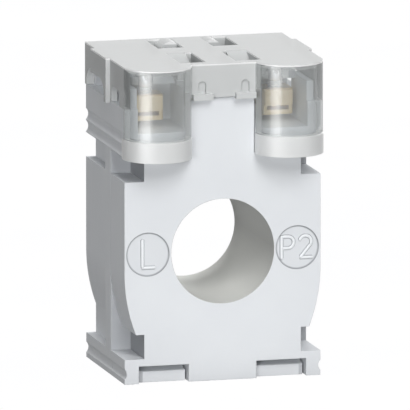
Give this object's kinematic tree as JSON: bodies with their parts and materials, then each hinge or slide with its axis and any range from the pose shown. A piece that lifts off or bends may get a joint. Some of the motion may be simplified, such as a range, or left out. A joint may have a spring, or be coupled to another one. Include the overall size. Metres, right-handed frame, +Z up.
{
  "type": "current transformer",
  "caption": "Window-type current transformer: light grey two-part moulded case round a cable window, with a clear hooded cover over two cage-clamp screw terminals on top.",
  "frame": {"origin": "on the axis of the cable window, midway between the front and rear faces", "axes": "+X to the right seen from the front, +Y along the cable from the front face to the rear face, +Z up from the foot to the terminals"},
  "size_m": [0.0422, 0.0369, 0.0638],
  "materials": {
    "housing_plastic": "fine spark-eroded moulding",
    "clear_plastic": "clear smoky polycarbonate",
    "core_steel": "strip-wound silicon steel",
    "cup_plastic": "satin",
    "enamelled_copper": "enamelled wire",
    "polyester_tape": "thin film tape",
    "foam": "closed-cell foam",
    "terminal_brass": "bright",
    "zinc_steel": "zinc plated",
    "lead_insulation": "flexible insulation"
  },
  "bodies": {
    "housing": {"front_shell": "housing_plastic", "rear_shell": "housing_plastic", "terminal_block": "housing_plastic", "ring_core": "core_steel", "core_cup": "cup_plastic", "core_lid": "cup_plastic", "secondary_winding": "enamelled_copper", "winding_wrap": "polyester_tape", "front_pads": "foam", "rear_pads": "foam", "contact_bar_left": "terminal_brass", "contact_bar_right": "terminal_brass", "lead_left": "lead_insulation", "lead_right": "lead_insulation"},
    "cover": {"terminal_cover": "clear_plastic"},
    "screw_left": {"terminal_screw_left": "zinc_steel"},
    "cage_left": {"clamp_cage_left": "terminal_brass"},
    "screw_right": {"terminal_screw_right": "zinc_steel"},
    "cage_right": {"clamp_cage_right": "terminal_brass"}
  },
  "joints": [
    {"name": "cover_lift", "type": "slide", "parent": "housing", "child": "cover", "axis": [0, 0, 1], "range_m": [0, 0.025]},
    {"name": "screw_left_turn", "type": "hinge", "parent": "housing", "child": "screw_left", "pos_m": [-0.01325, -0.0046, 0.0317], "axis": [0, 0, 1], "range_deg": [-684.1, 684.1]},
    {"name": "cage_left_rise", "type": "slide", "parent": "housing", "child": "cage_left", "axis": [0, 0, 1], "range_m": [-0.00095, 0.00095]},
    {"name": "screw_right_turn", "type": "hinge", "parent": "housing", "child": "screw_right", "pos_m": [0.01325, -0.0046, 0.0317], "axis": [0, 0, 1], "range_deg": [-684.1, 684.1]},
    {"name": "cage_right_rise", "type": "slide", "parent": "housing", "child": "cage_right", "axis": [0, 0, 1], "range_m": [-0.00095, 0.00095]}
  ],
  "couplings": [
    {"joint": "screw_left_turn", "follows": "cage_left_rise", "rad_per_m": -12566},
    {"joint": "screw_right_turn", "follows": "cage_right_rise", "rad_per_m": -12566}
  ]
}
